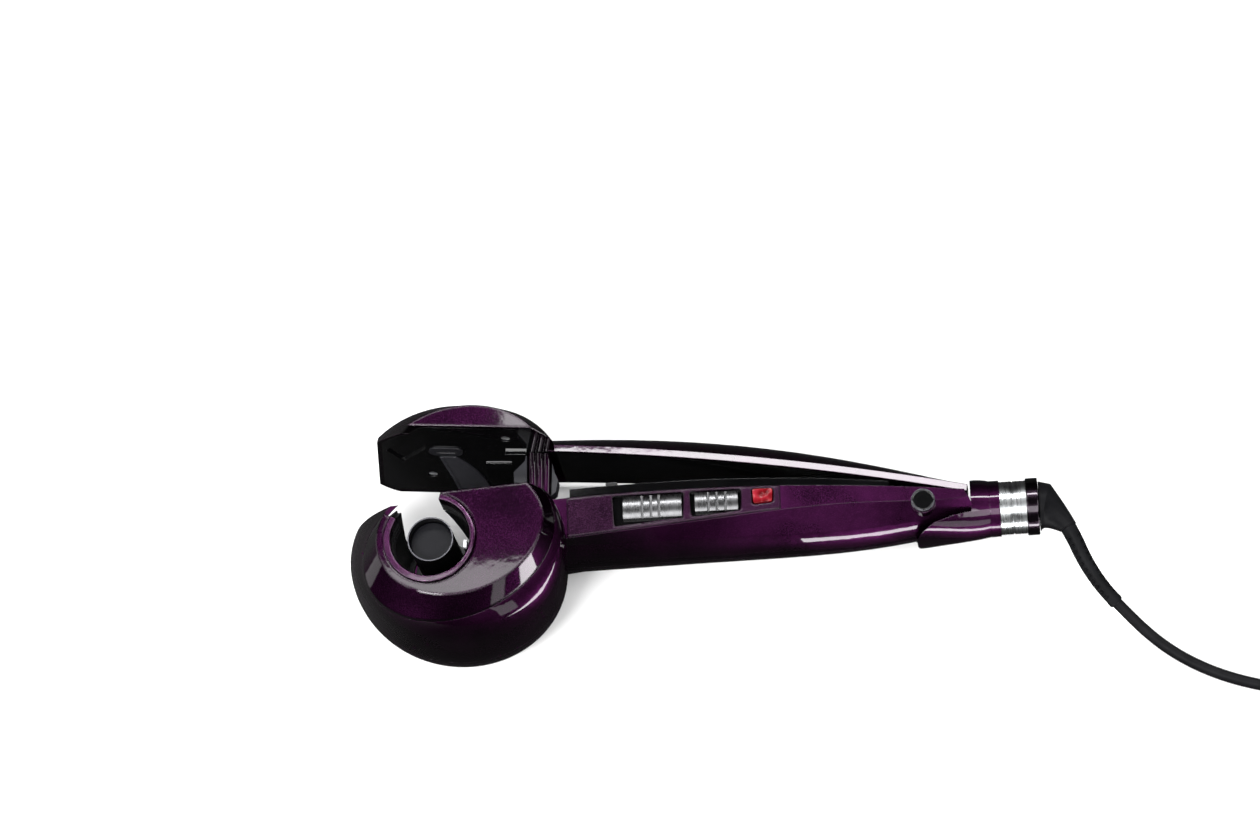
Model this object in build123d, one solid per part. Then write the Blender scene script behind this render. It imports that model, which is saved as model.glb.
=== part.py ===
from build123d import *
import math
import os

# Automatic hair curler, lying on the flat back of its head, curl chamber facing up.
# Millimetres. Origin: foot of the barrel's axis, on the surface the tool lies on.
# +Z along the barrel and the hinge pin, +X from the head towards the cord,
# +Y from the lower jaw (head with the barrel) towards the upper jaw (the lid).

# ---- driving dimensions -------------------------------------------------------------
FACE_Z = 64.0            # flat face round the curl chamber
CREASE_Z = 56.0          # lower edge of the bevel below the face
SEAM_Z = 24.0            # seam between the front and the back half shells
WALL = 2.2               # moulded wall of the housings
OPEN_ANGLE = 8.2         # how far the upper jaw stands open at rest

PARTING_Y = 19.55        # parting of the two jaws, at x = 0 and the height of the face
PARTING_RISE = 0.0522    # it rises towards the hinge
PARTING_LEAN = 0.10      # and falls towards the back of the head
JAW_GAP = 0.8            # left between the closed jaws

HINGE_X = 201.7
HINGE_Y = 10.9
PIN_R = 2.0
RUNNING = 0.05           # radial clearance of turning fits

CHAMBER_R = 16.6         # inside of the curl chamber
LINER_R = 18.2           # outside of its lining
LIP_R = 19.2             # outside of the raised lip round its mouth
BARREL_R = 9.5
BARREL_WALL = 0.5
BARREL_TOP = 62.5
SLEEVE_R = 10.3          # insulating sleeve the rotor turns on

GEAR_MODULE = 0.8
ROTOR_TEETH = 32
IDLER_TEETH = 18
PINION_TEETH = 12
GEAR_Z = 9.0             # underside of the gears
GEAR_THICK = 4.5
MOTOR_DIRECTION = -60.0  # degrees, from the barrel's axis to the motor's

SWIVEL_Y = 11.2          # axis of the collar, rings and swivel at the rear
SWIVEL_Z = 24.0
CORD_R = 2.4
CORD_LENGTH = 1800.0

# height, centre x, centre y, long half-axis, short half-axis, turn of each head outline
HEAD_OVALS = [
    (0.0, 5.9, -0.3, 33.7, 29.5, -12.0),
    (4.0, 6.0, -0.2, 38.8, 34.6, -14.0),
    (12.0, 6.2, -0.1, 43.8, 39.4, -16.0),
    (25.0, 6.4, 0.1, 46.0, 41.4, -16.5),
    (40.0, 8.2, -0.4, 45.2, 39.5, -2.0),
    (CREASE_Z, 10.7, -0.4, 41.6, 31.4, 24.3),
]
FACE_OVAL = (FACE_Z, 12.4, 3.0, 34.9, 27.2, 13.7)

HINGE_AXIS = Axis((HINGE_X, HINGE_Y, 0), (0, 0, 1))

os.makedirs("parts", exist_ok=True)

def keep(name, shape):
    """Write one piece, whole or as a group of separate solids."""
    solids = list(shape.solids())
    export_step(solids[0] if len(solids) == 1 else Compound(children=solids), f"parts/{name}.step")


def keep_open(name, shape):
    """Write a piece of the upper jaw, turned from closed to where it stands open."""
    keep(name, shape.rotate(HINGE_AXIS, -OPEN_ANGLE))


# ---- shared shapes ------------------------------------------------------------------
def disc(radius, z_low, z_high, x=0.0, y=0.0):
    """A round bar standing on its end."""
    height = z_high - z_low
    return Pos(x, y, z_low + height / 2) * Cylinder(radius, height)


def tube(outer, inner, z_low, z_high, x=0.0, y=0.0):
    """An upright tube."""
    return disc(outer, z_low, z_high, x, y) - disc(inner, z_low - 1, z_high + 1, x, y)


def block(x_low, x_high, y_low, y_high, z_low, z_high):
    """A box between two corners."""
    size = Box(x_high - x_low, y_high - y_low, z_high - z_low)
    return Pos((x_low + x_high) / 2, (y_low + y_high) / 2, (z_low + z_high) / 2) * size


def prism(points, z_low, z_high):
    """A straight-sided outline in XY, raised along Z."""
    face = make_face(Polyline(*points, close=True))
    return extrude(Pos(0, 0, z_low) * face, z_high - z_low)


def oval(level, inset=0.0):
    """A closed smooth outline: an ellipse turned about its centre."""
    z, centre_x, centre_y, long_half, short_half, turn = level
    a = long_half - inset
    b = short_half - inset
    points = []
    for step in range(24):
        angle = 2 * math.pi * step / 24
        lag = angle - math.radians(turn)
        reach = a * b / math.hypot(b * math.cos(lag), a * math.sin(lag))
        points.append((centre_x + reach * math.cos(angle), centre_y + reach * math.sin(angle)))
    return Pos(0, 0, z) * make_face(Spline(*points, periodic=True))


def bulb(inset=0.0):
    """The round head from its flat back up to the bevel's lower edge."""
    levels = list(HEAD_OVALS)
    if inset:
        levels[0] = (inset,) + levels[0][1:]
        levels[-1] = (CREASE_Z + 0.01,) + levels[-1][1:]
    return loft([oval(level, inset) for level in levels])


def bevel_cap(inset=0.0):
    """The bevel band and the flat face above it."""
    low = (CREASE_Z - (0.01 if inset else 0.0),) + HEAD_OVALS[-1][1:]
    high = (FACE_Z - inset,) + FACE_OVAL[1:]
    return loft([oval(low, inset), oval(high, inset * 1.4)], ruled=True)


def parting_y(x, z):
    return PARTING_Y + PARTING_RISE * x - PARTING_LEAN * (FACE_Z - z)


def parting_slab(lift_low, lift_high, x_low=-60.0, x_high=60.0):
    """The space between two planes that run alongside the parting of the jaws."""
    corners = []
    for x in (x_low, x_high):
        ring = []
        for z, lift in ((-10, lift_low), (80, lift_low), (80, lift_high), (-10, lift_high)):
            ring.append((x, parting_y(x, z) + lift, z))
        corners.append(make_face(Polyline(*ring, close=True)))
    return loft(corners, ruled=True)


LOWER_SIDE = parting_slab(-120.0, 0.0)
UPPER_SIDE = parting_slab(JAW_GAP, 120.0)
CHAMBER_BORE = disc(LIP_R, CREASE_Z - 10, FACE_Z + 5)


# ---- arms ---------------------------------------------------------------------------
def arm_near_z(x):
    """Height of the arm's flat front; the back mirrors it about SEAM_Z."""
    return 46.2 - (x - 50) / 30


def lower_top_y(x):
    return 21.4 - 0.0005 * (x - 105) ** 2


def lower_crease_y(x):
    return min(2.4 + 0.0865 * (x - 55), 10.7 + 0.027 * (x - 151))


def lower_shoulder_y(x):
    return 1.2 + 0.0012 * max(0.0, x - 150) ** 2


def lower_bottom_y(x):
    return -3.3 + 0.0014 * max(0.0, x - 150) ** 2


def upper_under_y(x):
    return 22.3 - 0.00042 * (x - 115) ** 2


def upper_top_y(x):
    return 34.3 - 0.0010 * (x - 110) ** 2


def mirror_z(z):
    return 2 * SEAM_Z - z


def lower_arm_section(x, inset=0.0):
    """Front face, slanted flank, round belly and their mirror images."""
    front = arm_near_z(x) - inset
    flank = arm_near_z(x) - 6.2 - inset * 0.7
    top = lower_top_y(x) + (6 if inset else 0)
    crease = lower_crease_y(x) + inset * 0.4
    shoulder = lower_shoulder_y(x) + inset * 0.8
    bottom = lower_bottom_y(x) + inset
    edges = [
        Line((x, top, mirror_z(front)), (x, top, front)),
        Line((x, top, front), (x, crease, front)),
        Line((x, crease, front), (x, shoulder, flank)),
        ThreePointArc((x, shoulder, flank), (x, bottom, SEAM_Z), (x, shoulder, mirror_z(flank))),
        Line((x, shoulder, mirror_z(flank)), (x, crease, mirror_z(front))),
        Line((x, crease, mirror_z(front)), (x, top, mirror_z(front))),
    ]
    return Face(Wire(edges))


def upper_arm_section(x, inset=0.0):
    """A lid: low straight sides under a gently arched top, open underneath."""
    front = arm_near_z(x) - 3.2 - inset
    under = upper_under_y(x) - (3 if inset else 0)
    side_top = upper_under_y(x) + 3.0 - inset * 0.4
    top = upper_top_y(x) - inset
    edges = [
        Line((x, under, mirror_z(front)), (x, under, front)),
        Line((x, under, front), (x, side_top, front - 0.4)),
        ThreePointArc((x, side_top, front - 0.4), (x, top, SEAM_Z), (x, side_top, mirror_z(front - 0.4))),
        Line((x, side_top, mirror_z(front - 0.4)), (x, under, mirror_z(front))),
    ]
    return Face(Wire(edges))


def arm(section, stations, inset=0.0):
    return loft([section(x, inset) for x in stations])



# ---- lower jaw: housings --------------------------------------------------------------
LOWER_STATIONS = (34, 55, 85, 118, 151, 180, 226)
lower_outer = (bulb() & LOWER_SIDE) + arm(lower_arm_section, LOWER_STATIONS)
lower_outer -= bulb(WALL)
lower_outer -= arm(lower_arm_section, (30, 55, 85, 118, 151, 180, 230), WALL)
lower_outer -= bulb(-0.4) & parting_slab(0.0, 80.0)

# each side ends at the rear in a pointed cheek, above a slanting cut for the rear collar
cheek_cut = prism([(197.5, -10), (198.5, -1.5), (206, 2.8), (214, 5.6), (223, 7.2), (219, 14.0),
                   (217.5, 40), (240, 40), (240, -10)], -5, 60)
lower_outer -= cheek_cut

# bosses that hold the hinge pin
for z_low, z_high in ((8.0, 12.4), (35.6, 40.2)):
    lower_outer += disc(5.2, z_low, z_high, HINGE_X, HINGE_Y)
lower_outer -= disc(PIN_R, -5, 60, HINGE_X, HINGE_Y)

# window in the front for the switches and the lamp
PANEL_WINDOW = [(72.5, 6.4), (128, 10.8), (142, 12.6), (142, 19.95), (72.5, 19.95)]
lower_outer -= prism(PANEL_WINDOW, 36, 60)

# screw holes through the back
BACK_SCREWS = [(-20, -20), (40, -8), (62, 6), (118, 6), (172, 9)]
for x, y in BACK_SCREWS:
    outside = 0.0 if x < 50 else mirror_z(arm_near_z(x))
    lower_outer -= disc(1.4, -1, 12, x, y) + disc(2.9, -1, outside + 1.3, x, y)
# seats for the hinge cap in front and for the foot behind
lower_outer -= disc(4.9, 40.2, 60, HINGE_X, HINGE_Y)
lower_outer -= disc(4.0, -5, 7.8, HINGE_X, HINGE_Y)

keep("lower_front_shell", lower_outer & block(-60, 260, -60, 60, SEAM_Z, 80))
lower_back = lower_outer & block(-60, 260, -60, 60, -10, SEAM_Z)
screws = []
for x, y in BACK_SCREWS:
    outside = 0.0 if x < 50 else mirror_z(arm_near_z(x))
    lower_back += tube(3.2, 1.4, outside + 1.4, 20.0, x, y)
    head = disc(2.7, outside + 0.5, outside + 1.3, x, y) - block(x - 2, x + 2, y - 0.3, y + 0.3, -1, outside + 0.9)
    screws.append(head + disc(1.35, outside + 1.3, 16.0, x, y))
keep("lower_back_shell", lower_back)
keep("back_screws", Compound(children=screws))

face_ring = bevel_cap() - bevel_cap(WALL) - CHAMBER_BORE
SLOT_START = 76.0        # the hair slot runs between these directions, in degrees
SLOT_END = 147.0
slot_edge = [(40 * math.cos(math.radians(a)), 40 * math.sin(math.radians(a))) for a in (SLOT_START, SLOT_END)]
hair_slot = prism([(0, 0), slot_edge[0], (-10, 60), slot_edge[1]], 22, FACE_Z + 8)
face_slot = prism([(4.5, 14), (-15.5, 9.6), (-24, 16), (-24, 45), (4.5, 45)], CREASE_Z - 1, FACE_Z + 5)
keep("lower_face_plate", (face_ring & LOWER_SIDE) - face_slot)

# ---- curl chamber ---------------------------------------------------------------------
LINER_TOP = 59.5
LINER_FOOT = 14.5
lining = tube(LINER_R, CHAMBER_R, LINER_FOOT, LINER_TOP) + tube(LINER_R, 14.5, LINER_FOOT, LINER_FOOT + 2)
lining -= hair_slot
for groove_z in (51.0, 54.0, 57.0):
    lining -= tube(CHAMBER_R + 0.5, CHAMBER_R - 1, groove_z, groove_z + 0.9)
lining = lining & parting_slab(-120, -2.4)
keep("chamber_liner", lining)

lip = tube(LIP_R - 0.05, CHAMBER_R, LINER_TOP, FACE_Z + 1.6)
lip = fillet(lip.edges().filter_by(GeomType.CIRCLE).group_by(Axis.Z)[-1], 1.1)
lip_slant = Pos(0, 0, FACE_Z + 1.0) * Rot(0, -2.2, 0) * Pos(0, 0, 10) * Box(80, 80, 20)
lip = (lip - lip_slant - hair_slot) & parting_slab(-120, -0.6)
keep("chamber_lip", lip)

keep("barrel", tube(BARREL_R, BARREL_R - BARREL_WALL, 6.5, BARREL_TOP))
cap = disc(BARREL_R - BARREL_WALL, 55.5, 57.5)
keep("barrel_cap", fillet(cap.edges().filter_by(GeomType.CIRCLE).group_by(Axis.Z)[-1], 0.6))
keep("heater_core", block(-5.5, 5.5, -1.6, 1.6, 12, 52))
heat_wings = block(-BARREL_R, BARREL_R, -4.5, -1.6, 14, 50) + block(-BARREL_R, BARREL_R, 1.6, 4.5, 14, 50)
keep("heat_spreader", heat_wings & disc(BARREL_R - BARREL_WALL, 14, 50))
sleeve = tube(SLEEVE_R, BARREL_R, 6.5, 17.2) + disc(12.0, WALL, 6.5)
keep("insulating_sleeve", sleeve)

# rotor: a ring with one finger that carries the lock round the barrel
RING_TOP = GEAR_Z + GEAR_THICK + 3.2
FINGER_ANGLE = -3.5
FINGER_INNER = 12.9
FINGER_OUTER = 14.3
TIP_Z = 55.0
finger_wedge = prism([(0, 0), (20, -2.4), (20, 2.4)], 0, 70)


def finger_stretch(z_low, z_high):
    return (tube(FINGER_OUTER, FINGER_INNER, z_low, z_high) & finger_wedge).rotate(Axis.Z, FINGER_ANGLE)


rotor = tube(13.4, SLEEVE_R + RUNNING, GEAR_Z + GEAR_THICK, RING_TOP)
keep("rotor", rotor + finger_stretch(RING_TOP - 1.5, TIP_Z))
keep("rotor_finger_tip", finger_stretch(TIP_Z, TIP_Z + 1.8))

def gear(teeth, bore, phase=0.0):
    """An involute spur gear with slack between the teeth; a tooth points along +X turned by phase."""
    pitch = GEAR_MODULE * teeth / 2
    base = pitch * math.cos(math.radians(20))
    root = pitch - 1.25 * GEAR_MODULE
    tip_radius = pitch + 0.9 * GEAR_MODULE
    slack = 0.09 / pitch
    half_at_pitch = math.pi / (2 * teeth) - slack
    roll_at_pitch = math.tan(math.radians(20)) - math.radians(20)
    points = []
    for tooth in range(teeth):
        centre = 2 * math.pi * tooth / teeth + math.radians(phase)
        flank = []
        for step in range(5):
            radius = max(base, root) + (tip_radius - max(base, root)) * step / 4
            pressure = math.acos(min(1.0, base / radius))
            half = half_at_pitch + roll_at_pitch - (math.tan(pressure) - pressure)
            flank.append((radius, half))
        if root < base:
            flank.insert(0, (root, flank[0][1]))
        outline = [(r, centre - h) for r, h in flank] + [(r, centre + h) for r, h in reversed(flank)]
        points += [(r * math.cos(t), r * math.sin(t)) for r, t in outline]
    face = make_face(Polyline(*points, close=True))
    return extrude(Pos(0, 0, GEAR_Z) * face, GEAR_THICK) - disc(bore, GEAR_Z - 1, GEAR_Z + 10)


def place_from(angle, distance, x=0.0, y=0.0):
    return (x + distance * math.cos(math.radians(angle)), y + distance * math.sin(math.radians(angle)))


ROTOR_TO_IDLER = GEAR_MODULE * (ROTOR_TEETH + IDLER_TEETH) / 2
IDLER_TO_PINION = GEAR_MODULE * (IDLER_TEETH + PINION_TEETH) / 2
ROTOR_TO_PINION = 28.2
idler_swing = math.degrees(math.acos((ROTOR_TO_IDLER ** 2 + ROTOR_TO_PINION ** 2 - IDLER_TO_PINION ** 2)
                                     / (2 * ROTOR_TO_IDLER * ROTOR_TO_PINION)))
IDLER_DIRECTION = MOTOR_DIRECTION + idler_swing
IDLER_X, IDLER_Y = place_from(IDLER_DIRECTION, ROTOR_TO_IDLER)
MOTOR_X, MOTOR_Y = place_from(MOTOR_DIRECTION, ROTOR_TO_PINION)
pinion_direction = math.degrees(math.atan2(MOTOR_Y - IDLER_Y, MOTOR_X - IDLER_X))

# a tooth of each driven gear stands in a gap of the gear before it
idler_phase = IDLER_DIRECTION + 180 + 180 / IDLER_TEETH
gap_offset = (pinion_direction - idler_phase) % (360 / IDLER_TEETH)
pinion_phase = pinion_direction + 180 + 180 / PINION_TEETH + gap_offset * IDLER_TEETH / PINION_TEETH
keep("rotor_gear", gear(ROTOR_TEETH, SLEEVE_R + RUNNING, IDLER_DIRECTION))
idler = gear(IDLER_TEETH, 1.5 + RUNNING, idler_phase).translate((IDLER_X, IDLER_Y, 0))
keep("idler_gear", idler)
pinion = gear(PINION_TEETH, 1.0, pinion_phase).translate((MOTOR_X, MOTOR_Y, 0))
keep("motor_pinion", pinion)
keep("motor_shaft", disc(1.0, GEAR_Z - 1.5, 15.3, MOTOR_X, MOTOR_Y))
idler_axle = disc(1.5, WALL, GEAR_Z + GEAR_THICK + 0.8, IDLER_X, IDLER_Y)
idler_axle += disc(3.0, WALL, GEAR_Z - 0.4, IDLER_X, IDLER_Y)
idler_axle += disc(2.6, GEAR_Z + GEAR_THICK + 0.2, GEAR_Z + GEAR_THICK + 0.8, IDLER_X, IDLER_Y)
keep("idler_axle", idler_axle)
motor = disc(9.5, 17.0, 40.0, MOTOR_X, MOTOR_Y) + disc(3.0, 15.4, 17.0, MOTOR_X, MOTOR_Y)
motor += disc(4.0, 40.0, 41.5, MOTOR_X, MOTOR_Y)
keep("motor", motor)
plate = disc(11.0, 15.4, 17.0, MOTOR_X, MOTOR_Y)
plate += block(MOTOR_X - 11, MOTOR_X + 11, MOTOR_Y - 3, MOTOR_Y + 3, 15.4, 17.0)
for side in (-1, 1):
    plate += disc(2.0, WALL, 17.0, MOTOR_X + side * 10.5, MOTOR_Y - 4)
plate -= disc(3.0, 10, 20, MOTOR_X, MOTOR_Y)
plate -= disc(LINER_R + 0.3, 10, 20)
keep("motor_bracket", plate & bulb(WALL + 0.05))

# ---- lower jaw: black inner covers ------------------------------------------------------
head_inside = bulb(WALL) + bevel_cap(WALL)
jaw_liner = head_inside & parting_slab(-7.0, -5.0)
jaw_liner -= disc(LINER_R + 0.1, -5, 80)
jaw_liner -= disc(LIP_R + 0.1, LINER_TOP - 0.2, 80)
jaw_liner -= block(28, 60, -20, 40, 24, 44)
keep("jaw_liner", jaw_liner)


def slab(stations, y_low, y_high, inset):
    """A strip along the arm between two heights in Y, as wide in Z as the arm less an inset."""
    rings = []
    for x in stations:
        front = arm_near_z(x) - inset
        corners = [(x, y_low(x), mirror_z(front)), (x, y_low(x), front),
                   (x, y_high(x), front), (x, y_high(x), mirror_z(front))]
        rings.append(make_face(Polyline(*corners, close=True)))
    return loft(rings)


def rim_y(x):
    return lower_top_y(x) + 3.7 - 0.00025 * max(0.0, x - 110) ** 2


TRAY_STATIONS = (56, 80, 110, 140, 165, 188)
tray = slab(TRAY_STATIONS, lambda x: lower_top_y(x) + 0.08, rim_y, 0.15)
tray += slab(TRAY_STATIONS, lambda x: lower_top_y(x) - 3.4, lambda x: lower_top_y(x) + 0.5, WALL + 0.25)
tray -= slab((50,) + TRAY_STATIONS + (194,), lambda x: lower_top_y(x) + 0.25, lambda x: rim_y(x) + 5, WALL + 0.6)
tray -= slab((50,) + TRAY_STATIONS + (194,), lambda x: lower_top_y(x) - 1.8, lambda x: lower_top_y(x) + 0.3, WALL + 1.3)
keep("lower_inner_cover", tray)
bump_y = rim_y(73.5)
bumper = block(71, 76, bump_y - 0.1, bump_y + 1.4, 43.4, 45.1)
keep("closing_bumper", fillet(bumper.edges().filter_by(Axis.Z), 0.65) - tray)


# ---- controls on the front of the lower arm ---------------------------------------------
TILT = math.degrees(math.atan(1 / 30))


def front_slab(depth_low, depth_high):
    """The space between two depths measured from the front of the lower arm."""
    rings = []
    for x in (40, 230):
        z_low = arm_near_z(x) + depth_low
        z_high = arm_near_z(x) + depth_high
        corners = [(x, -30, z_low), (x, 50, z_low), (x, 50, z_high), (x, -30, z_high)]
        rings.append(make_face(Polyline(*corners, close=True)))
    return loft(rings, ruled=True)


PANEL_PROUD = 0.8
TEMPERATURE_OPENING = [(74.3, 6.2), (102.6, 8.2), (103.4, 19.9), (73.7, 19.6)]
TIMER_OPENING = [(106.2, 8.8), (126.8, 10.6), (127.2, 19.9), (105.8, 20.0)]
LENS_OPENING = [(131.6, 12.6), (140.2, 13.4), (140.6, 19.6), (131.3, 19.8)]
panel_top = [(x, lower_top_y(x) - 0.25) for x in (143.2, 125, 105, 85, 70, 54.8)]
panel_foot = [(x, lower_crease_y(x) + 0.35) for x in (54.8, 143.2)]
panel_outline = prism(panel_top + panel_foot, 30, 60)
panel = panel_outline & front_slab(0.0, PANEL_PROUD)
for opening in (TEMPERATURE_OPENING, TIMER_OPENING, LENS_OPENING):
    hole = prism(opening, 30, 60)
    panel -= fillet(hole.edges().filter_by(Axis.Z), 1.2)
keep("control_panel", panel)

well = prism(PANEL_WINDOW, 30, 60) & front_slab(-WALL, -1.5)
TEMPERATURE_X = 90.2
TEMPERATURE_TRAVEL = 3.6
TIMER_X = 116.8
TIMER_TRAVEL = 1.8
SLIDER_Y = 13.4
for x, travel in ((TEMPERATURE_X, TEMPERATURE_TRAVEL), (TIMER_X, TIMER_TRAVEL)):
    well -= block(x - travel - 2.0, x + 2.0, SLIDER_Y - 1.3, SLIDER_Y + 1.3, 30, 60)
well -= prism(LENS_OPENING, 30, 60)
keep("switch_well", well)


def slider(x, y_low, half_length, grooves):
    """A thumb slider with an arched top and grooves across it."""
    y_high = 19.2
    middle = (y_low + y_high) / 2
    top = 1.9
    crown = 9.0
    body = block(-half_length, half_length, y_low, y_high, -1.4, 6)
    body &= Pos(0, middle, top - crown) * Rot(0, 90, 0) * Cylinder(crown, 80)
    for groove in grooves:
        body -= block(groove - 0.5, groove + 0.5, 0, 40, 0.5, 8)
    body += block(-1.4, 1.4, SLIDER_Y - 1.0, SLIDER_Y + 1.0, -6.4, -1.0)
    return Pos(x, 0, arm_near_z(x)) * Rot(0, TILT, 0) * body


keep("temperature_slider", slider(TEMPERATURE_X, 9.3, 12.2, (-4.2, -0.5, 2.8)))
keep("timer_slider", slider(TIMER_X, 10.8, 8.9, (-3.4, 0.2, 3.8)))

BOARD_Z = 33.0
board = block(66, 158, 4.0, 16.0, BOARD_Z, BOARD_Z + 1.6)
keep("circuit_board", board)
switches = []
for x, travel in ((TEMPERATURE_X, TEMPERATURE_TRAVEL), (TIMER_X, TIMER_TRAVEL)):
    body = block(x - 8, x + 6, 10.5, 15.95, BOARD_Z + 1.6, arm_near_z(x) - 5.0)
    body -= block(x - travel - 2.2, x + 2.2, SLIDER_Y - 1.2, SLIDER_Y + 1.2, arm_near_z(x) - 7.2, 60)
    switches.append(body)
keep("slide_switches", Compound(children=switches))
relay = block(68, 78, 6.0, 12.0, BOARD_Z + 1.6, BOARD_Z + 6)
capacitor = disc(2.6, BOARD_Z + 1.6, BOARD_Z + 5.0, 148, 9.5)
reed_switch = block(98, 106, 6.4, 8.4, BOARD_Z + 1.6, BOARD_Z + 3.4)
keep("board_components", Compound(children=[relay, capacitor, reed_switch]))
lens = prism([(132.1, 13.1), (139.8, 13.8), (140.1, 19.2), (131.8, 19.4)], 30, 60) & front_slab(-2.1, 1.1)
keep("lamp_lens", fillet(lens.edges().filter_by(Axis.Z), 0.8))
keep("lamp", disc(1.5, BOARD_Z + 1.6, 39.0, 135.8, 14.2))

# ---- hinge ----------------------------------------------------------------------------
keep("hinge_pin", disc(PIN_R, 7.8, 40.2, HINGE_X, HINGE_Y))
hinge_cap = disc(4.4, 40.2, 42.1, HINGE_X, HINGE_Y)
keep("hinge_cap", fillet(hinge_cap.edges().filter_by(GeomType.CIRCLE).group_by(Axis.Z)[-1], 0.5))
keep("hinge_cap_ring", tube(4.85, 4.4, 40.2, 41.9, HINGE_X, HINGE_Y))
foot = disc(3.9, 5.0, 7.8, HINGE_X, HINGE_Y) + disc(6.0, 0.0, 6.4, HINGE_X, HINGE_Y)
keep("rest_foot", fillet(foot.edges().filter_by(GeomType.CIRCLE).group_by(Axis.Z)[0], 1.2))
SPRING_R = 3.1
SPRING_WIRE = 0.4
spring_path = Pos(HINGE_X, HINGE_Y, 19.5) * Helix(pitch=1.3, height=9.1, radius=SPRING_R)
spring_start = Plane(origin=spring_path @ 0, z_dir=spring_path % 0)
keep("hinge_spring", sweep(spring_start * Circle(SPRING_WIRE), path=spring_path, is_frenet=True))


# ---- rear collar, rings and swivel ------------------------------------------------------
def rear_disc(radius, x_low, x_high):
    """A round bar along the swivel's axis."""
    bar = Rot(0, 90, 0) * Cylinder(radius, x_high - x_low)
    return Pos((x_low + x_high) / 2, SWIVEL_Y, SWIVEL_Z) * bar


def rear_tube(outer, inner, x_low, x_high):
    return rear_disc(outer, x_low, x_high) - rear_disc(inner, x_low - 1, x_high + 1)


def collar_section(x, centre_y, half_y, half_z, squareness, inset=0.0):
    """A rounded outline across the axis, squarer near the arm and round at the rings."""
    points = []
    for step in range(20):
        angle = 2 * math.pi * step / 20
        c = math.cos(angle)
        s = math.sin(angle)
        y = centre_y + (half_y - inset) * math.copysign(abs(c) ** (2 / squareness), c)
        z = SWIVEL_Z + (half_z - inset) * math.copysign(abs(s) ** (2 / squareness), s)
        points.append((x, y, z))
    return Face(Wire([Spline(*points, periodic=True)]))


COLLAR_END_R = 11.65
COLLAR_SHAPE = [(196.5, 7.3, 9.4, 16.0, 2.6), (208, 9.0, 10.9, 14.8, 2.4), (219, 10.8, 12.4, 12.9, 2.1),
                (229.3, SWIVEL_Y, COLLAR_END_R - 0.15, COLLAR_END_R - 0.15, 2.0)]
collar = loft([collar_section(*shape) for shape in COLLAR_SHAPE])
hollow = [(195.5,) + COLLAR_SHAPE[0][1:], COLLAR_SHAPE[1], COLLAR_SHAPE[2], (228.6,) + COLLAR_SHAPE[3][1:]]
collar -= loft([collar_section(*shape, inset=2.0) for shape in hollow])
above_chin = prism([(190, -12), (198.2, -12), (198.2, -2.0), (206, 2.4), (214, 5.2), (221.2, 6.8), (221.2, 40),
                    (190, 40)], -5, 60)
collar = (collar - above_chin) + rear_disc(COLLAR_END_R, 229, 233) + rear_disc(9.0, 233, 248)
collar -= rear_disc(6.0, 225, 250)
keep("rear_collar", collar)
silver = rear_tube(11.0, 9.0, 233, 244)
silver -= rear_tube(12, 10.7, 238.2, 238.8)
keep("silver_ring", silver)
end_ring = rear_tube(11.85, 9.0, 244, 249)
keep("end_ring", fillet(end_ring.edges().filter_by(GeomType.CIRCLE).group_by(SortBy.RADIUS)[-1], 0.5))
keep("swivel_bush", rear_tube(6.0, 5.0 + RUNNING, 233, 248.6))

EXIT = (260.6, 1.2, 23.7)
EXIT_DIRECTION = (0.44, -0.89, -0.1)
elbow_start = Plane(origin=(249.3, SWIVEL_Y, SWIVEL_Z), z_dir=(1, 0, 0)) * Circle(10.3)
elbow_shoulder = Plane(origin=(252.0, 10.5, 24.0), z_dir=(0.966, -0.259, 0)) * Circle(9.9)
elbow_rings = [
    elbow_shoulder,
    Plane(origin=(257.0, 4.9, 24.0), z_dir=(0.64, -0.77, -0.03)) * Circle(5.4),
    Plane(origin=EXIT, z_dir=EXIT_DIRECTION) * Circle(3.7),
]
elbow = loft([elbow_start, elbow_shoulder], ruled=True) + loft(elbow_rings)
elbow += rear_disc(5.0, 230.4, 249.6) + rear_disc(5.9, 230.4, 232.7)
keep("swivel_elbow", elbow)


def rounded_route(points, label):
    """Straight runs joined by arcs as large as each pair of runs allows."""
    vectors = [Vector(*p) for p in points]
    radii = []
    for before, corner, after in zip(vectors, vectors[1:], vectors[2:]):
        turn = math.radians((corner - before).get_angle(after - corner))
        shorter = min((corner - before).length, (after - corner).length)
        radii.append(0.45 * shorter / math.tan(turn / 2))
    route = FilletPolyline(*points, radius=radii)
    print(label, "radii", [round(r) for r in radii], "length", round(route.length, 1))
    return route


def run_tube(points, radius, label):
    route = rounded_route(points, label)
    start = Plane(origin=route @ 0, z_dir=route % 0)
    solid = sweep(start * Circle(radius), path=route)
    print(label, "volume ratio", round(solid.volume / (math.pi * radius ** 2 * route.length), 4))
    return solid


RELIEF_ROUTE = [EXIT, (262.9, -3.6, 23.0), (265.0, -9.2, 21.4), (267.9, -15.2, 19.3), (271.3, -20.6, 17.0),
                (275.0, -25.4, 14.6), (278.4, -29.0, 12.4)]
RELIEF_END = RELIEF_ROUTE[-1]
strain_relief = run_tube(RELIEF_ROUTE, 2.9, "strain relief") - elbow
keep("strain_relief", strain_relief)

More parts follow.
